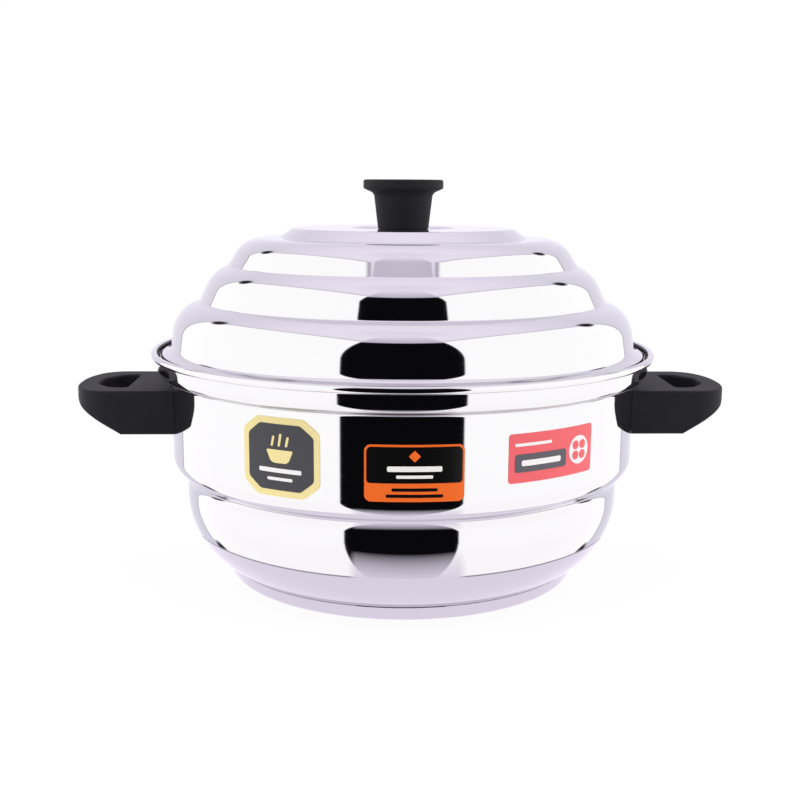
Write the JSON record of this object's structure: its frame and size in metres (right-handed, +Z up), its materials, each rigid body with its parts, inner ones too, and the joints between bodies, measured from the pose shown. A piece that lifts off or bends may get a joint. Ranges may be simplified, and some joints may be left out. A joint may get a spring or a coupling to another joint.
{
  "type": "idli steamer",
  "caption": "Spun steel idli steamer with a stepped lift-off lid, bakelite knob and side handles, and a lift-out stand of cupped plates that turn on a rod.",
  "frame": {"origin": "on the table under the pot's axis", "axes": "+Z up along the pot's axis, +X along the two handles, -Y towards the viewer"},
  "size_m": [0.337, 0.26, 0.2042],
  "materials": {
    "mirror_steel": "mirror-polished stainless steel",
    "satin_steel": "satin stainless steel",
    "core_aluminium": "rolled aluminium",
    "insert_brass": "turned brass",
    "bakelite": "black moulded bakelite with a soft sheen"
  },
  "bodies": {
    "pot": {"pot_body": "mirror_steel", "base_core_disc": "core_aluminium", "base_cap": "mirror_steel", "left_handle": "bakelite", "left_handle_bracket": "satin_steel", "left_handle_screw": "satin_steel", "right_handle": "bakelite", "right_handle_bracket": "satin_steel", "right_handle_screw": "satin_steel"},
    "stand": {"stand_hub": "satin_steel", "stand_legs": "satin_steel", "centre_rod": "satin_steel"},
    "tier_1": {"spacer_1": "satin_steel"},
    "plate_1": {"idli_plate_1": "satin_steel"},
    "tier_2": {"spacer_2": "satin_steel"},
    "plate_2": {"idli_plate_2": "satin_steel"},
    "tier_3": {"spacer_3": "satin_steel"},
    "plate_3": {"idli_plate_3": "satin_steel"},
    "tier_4": {"spacer_4": "satin_steel"},
    "plate_4": {"idli_plate_4": "satin_steel"},
    "top_knob": {"lifting_knob": "satin_steel"},
    "lid": {"lid_shell": "mirror_steel", "lid_knob": "bakelite", "knob_insert": "insert_brass", "knob_washer": "satin_steel", "knob_screw": "satin_steel"}
  },
  "joints": [
    {"name": "stand_lift", "type": "slide", "parent": "pot", "child": "stand", "axis": [0, 0, 1], "range_m": [0, 0.12]},
    {"name": "tier_1_lift", "type": "slide", "parent": "stand", "child": "tier_1", "axis": [0, 0, 1], "range_m": [0, 0.13]},
    {"name": "tier_2_lift", "type": "slide", "parent": "tier_1", "child": "tier_2", "axis": [0, 0, 1], "range_m": [0, 0.112]},
    {"name": "tier_3_lift", "type": "slide", "parent": "tier_2", "child": "tier_3", "axis": [0, 0, 1], "range_m": [0, 0.085]},
    {"name": "tier_4_lift", "type": "slide", "parent": "tier_3", "child": "tier_4", "axis": [0, 0, 1], "range_m": [0, 0.055]},
    {"name": "plate_1_turn", "type": "hinge", "parent": "tier_1", "child": "plate_1", "pos_m": [0, 0, 0.044], "axis": [0, 0, 1], "continuous": true},
    {"name": "plate_2_turn", "type": "hinge", "parent": "tier_2", "child": "plate_2", "pos_m": [0, 0, 0.074], "axis": [0, 0, 1], "continuous": true},
    {"name": "plate_3_turn", "type": "hinge", "parent": "tier_3", "child": "plate_3", "pos_m": [0, 0, 0.104], "axis": [0, 0, 1], "continuous": true},
    {"name": "plate_4_turn", "type": "hinge", "parent": "tier_4", "child": "plate_4", "pos_m": [0, 0, 0.134], "axis": [0, 0, 1], "continuous": true},
    {"name": "lifting_knob_turn", "type": "hinge", "parent": "tier_4", "child": "top_knob", "pos_m": [0, 0, 0.134], "axis": [0, 0, 1], "continuous": true},
    {"name": "lid_lift", "type": "slide", "parent": "tier_4", "child": "lid", "axis": [0, 0, 1], "range_m": [0, 0.09]}
  ]
}
